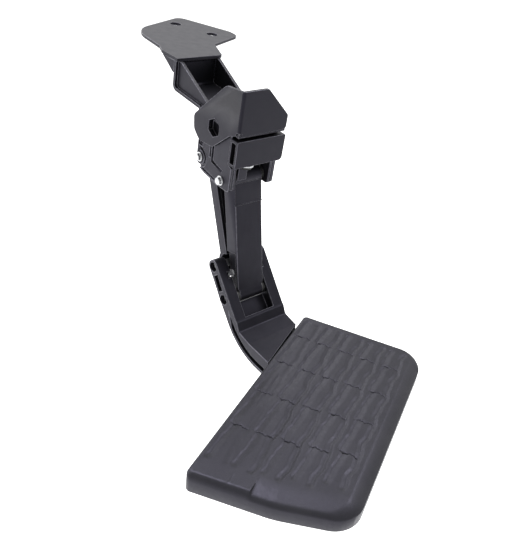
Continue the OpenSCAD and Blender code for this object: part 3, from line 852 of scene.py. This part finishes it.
def tread_loop(insets, radii):
    """Rounded outline moved in by an inset for each side. Also gives each point's side, in fractions where
    one side turns into the next. Every loop has the same number of points."""
    corners = tread_corners()
    sides = len(corners)
    along = np.roll(corners, -1, 0) - corners
    lengths = np.linalg.norm(along, axis=1)
    along = along / lengths[:, None]
    tips = inset_corners(corners, along, insets)
    arcs = [corner_arc(tips[i], along[i - 1], along[i], radii[i]) for i in range(sides)]
    points, side = [], []
    for i in range(sides):
        points.append(arcs[i])
        side.append(i - 1 + np.linspace(0, 1, CORNER_STEPS + 1))
        start, end = arcs[i][-1], arcs[(i + 1) % sides][0]
        if i == sides - 1:
            x = inner_side()
            points.append(np.stack([x, np.full_like(x, start[1])], 1))
        else:
            share = np.linspace(0, 1, int(lengths[i] / SIDE_STEP) + 2)[1:-1, None]
            points.append(start + (end - start) * share)
        side.append(np.full(len(points[-1]), float(i)))
    return np.concatenate(points), np.concatenate(side)


def by_side(side, column):
    """A column of TREAD_SIDES at each point's side, blended round the corners."""
    values = np.array([s[column] for s in TREAD_SIDES], float)
    before = np.floor(side).astype(int)
    part = side - before
    return values[before % len(values)] * (1 - part) + values[(before + 1) % len(values)] * part


def inside_depth(points, border):
    """Distance of points inside the lines through a convex border."""
    along = np.roll(border, -1, 0) - border
    along = along / np.linalg.norm(along, axis=1)[:, None]
    depth = np.full(len(points), np.inf)
    for p, d in zip(border, along):
        depth = np.minimum(depth, (points[:, 0] - p[0]) * d[1] - (points[:, 1] - p[1]) * d[0])
    return depth


def top_points(border):
    """Points inside the border for the relief: a grid, with rows laid along each cross groove."""
    step_u, step_v = GRID_STEP
    u, v = np.meshgrid(np.arange(-TREAD_LENGTH, 0, step_u), np.arange(-TREAD_WIDTH, 0, step_v))
    u, v = u.ravel(), v.ravel()
    keep = np.ones(len(u), bool)
    rows = []
    for column in range(COLUMNS):
        centre = column_centre(column)
        inside = (v > centre + STRIP_ENDS[0]) & (v < centre + STRIP_ENDS[1])
        across = np.arange(centre + ROW_ENDS[0], centre + ROW_ENDS[1], step_v)
        for k in range(GROOVES):
            keep &= ~(inside & (np.abs(u - groove_line(column, k, v)) < GROOVE_CLEAR))
            for off in GROOVE_ROWS:
                rows.append(np.stack([groove_line(column, k, across) + off, across], 1))
    points = np.concatenate([np.stack([u[keep], v[keep]], 1)] + rows)
    return points[inside_depth(points, border) > RIM_CLEAR]


def notch_points(rim, side):
    """Which points of the rim are in the notch. The first and last of its doubled end points are not."""
    inner = side == len(TREAD_SIDES) - 1
    on_notch = inner & (rim[:, 0] > NOTCH[0] - SAME_POINT) & (rim[:, 0] < NOTCH[1] + SAME_POINT)
    first, last = (np.flatnonzero(inner & (np.abs(rim[:, 0] - x) < SAME_POINT)) for x in NOTCH)
    on_notch[first[0]] = on_notch[last[-1]] = False
    return on_notch


def tread_loops(rim, side, top):
    """Closed loops of points from the pocket under the tread, round the skirt and up to the border of the
    relief."""
    on_notch = notch_points(rim, side)
    loops = []
    for inset, z in (*CEILING_LOOPS, *((inset, z - TREAD_HEIGHT) for inset, z in FOOT_LOOPS)):
        loop, _ = tread_loop((inset,) * len(TREAD_SIDES), [max(r - inset, LEAST_RADIUS) for r in RIM_RADII])
        level = np.where(on_notch, max(z, NOTCH_TOP), z)
        loops.append(np.column_stack([loop, level]))
    drop, chamfer = by_side(side, 1), by_side(side, 2)
    border_z = tread_height(top[:, 0], top[:, 1])
    for t in np.linspace(0, 1, EDGE_LOOPS):
        turn = t * math.pi / 2
        rise = (1 - chamfer) * math.sin(turn) + chamfer * t
        shift = ((1 - chamfer) * (1 - math.cos(turn)) + chamfer * t)[:, None]
        flat = rim * (1 - shift) + top * shift
        loops.append(np.column_stack([flat, -drop * (1 - rise) + border_z * rise]))
    return loops


def tread_mesh():
    """The moulded tread as one closed mesh, with a pocket below for the step's base."""
    rim, side = tread_loop((0,) * len(TREAD_SIDES), RIM_RADII)
    top, _ = tread_loop([s[0] for s in TREAD_SIDES], TOP_RADII)
    loops = tread_loops(rim, side, top)
    points = [p for loop in loops for p in loop]
    faces = [tuple(range(len(rim)))[::-1]] + tube_faces(len(loops), len(rim), clockwise=True)

    border = top[np.linalg.norm(top - np.roll(top, 1, 0), axis=1) > SAME_POINT]
    flat = [Vector(p) for p in np.concatenate([border, top_points(border)])]
    ring = list(range(len(border)))
    inside_only = 1
    verts, _, triangles, *_ = delaunay_2d_cdt(flat, [], [ring], inside_only, 1e-5)
    u, v = np.array([p[:] for p in verts]).T
    first = len(points)
    points += list(np.column_stack([u, v, tread_height(u, v)]))
    faces += [tuple(first + i for i in face) for face in triangles]
    return mesh_from("tread_finished", points, faces, TREAD, weld=True)


# ---------- stage ----------

FLOOR_HALF = 30
FLOOR_DROP = 0.42
# Each light's name, offset from the middle of the step, size and power in watts
LIGHTS = (("key", (-0.5, 2.0, 0.5), (2.2, 1.4), 27),
          ("back", (1.7, 1.2, 1.4), (1.6, 1.2), 15),
          ("top", (0.3, 0.7, 1.85), (1.1, 1.1), 34),
          ("strip", (1.0, -0.85, 1.5), (0.8, 0.8), 16))
SKY_STRENGTH = 0.6


def add_floor():
    """A white floor well below the step, bright enough to pass for the photo's background."""
    half = FLOOR_HALF
    z = CAD_BOX[0].z - FLOOR_DROP
    corners = [(-half, -half, z), (half, -half, z), (half, half, z), (-half, half, z)]
    mesh = bpy.data.meshes.new("floor")
    mesh.from_pydata(corners, [], [(0, 1, 2, 3)])
    floor = bpy.data.objects.new("floor", mesh)
    bpy.context.scene.collection.objects.link(floor)
    f = Finish("floor", Roughness=0.9, Emission_Color=(1, 1, 1, 1), Emission_Strength=0.75)
    f.colour(f.blend(f.spread(f.noise(0.4, 2), 0, 1), grey(0.84), grey(0.87)))
    mesh.materials.append(f.material)


def add_area(name, place, target, size, power):
    """A rectangular light that faces the target and is not seen itself."""
    data = bpy.data.lights.new(name, "AREA")
    data.shape = "RECTANGLE"
    data.size, data.size_y = size
    data.energy = power
    light = bpy.data.objects.new(name, data)
    bpy.context.scene.collection.objects.link(light)
    light.location = place
    light.visible_camera = False
    light.rotation_mode = "QUATERNION"
    light.rotation_quaternion = (Vector(target) - Vector(place)).to_track_quat("-Z", "Y")


def add_lights():
    world = bpy.data.worlds.new("studio")
    bpy.context.scene.world = world
    world.use_nodes = True
    background = world.node_tree.nodes["Background"]
    background.inputs["Color"].default_value = (1, 1, 1, 1)
    background.inputs["Strength"].default_value = SKY_STRENGTH
    middle = (CAD_BOX[0] + CAD_BOX[1]) / 2
    for name, offset, size, power in LIGHTS:
        add_area(name, middle + Vector(offset), middle, size, power)
    bpy.context.scene.view_settings.view_transform = "Standard"


# ---------- build ----------

# Degrees above which the tread's edges stay crisp
TREAD_CRISP_ANGLE = 40
# Sheets that are folded
FOLDS = {"guard_plate": guard_fold, "frame_bracket": bracket_fold}
# Nodes with the dark plate instead of their slot's finish
DARK_NODES = ("friction_washers", "thrust_washers", "upper_pin_clips", "lower_pin_clips")

add_camera()
add_floor()
add_lights()
MATERIALS = make_materials()

tread = add_piece("tread_finished", tread_mesh(), ["tread"])
tread.data.set_sharp_from_angle(angle=math.radians(TREAD_CRISP_ANGLE))
add_welds()
add_link_step()
for node in sorted(set(frame["nodes"]) - {"tread"}):
    soften(node, COATED.get(SLOT_OF[node], SMALL), bends=FOLDS.get(node),
           material="dark_plate" if node in DARK_NODES else None)
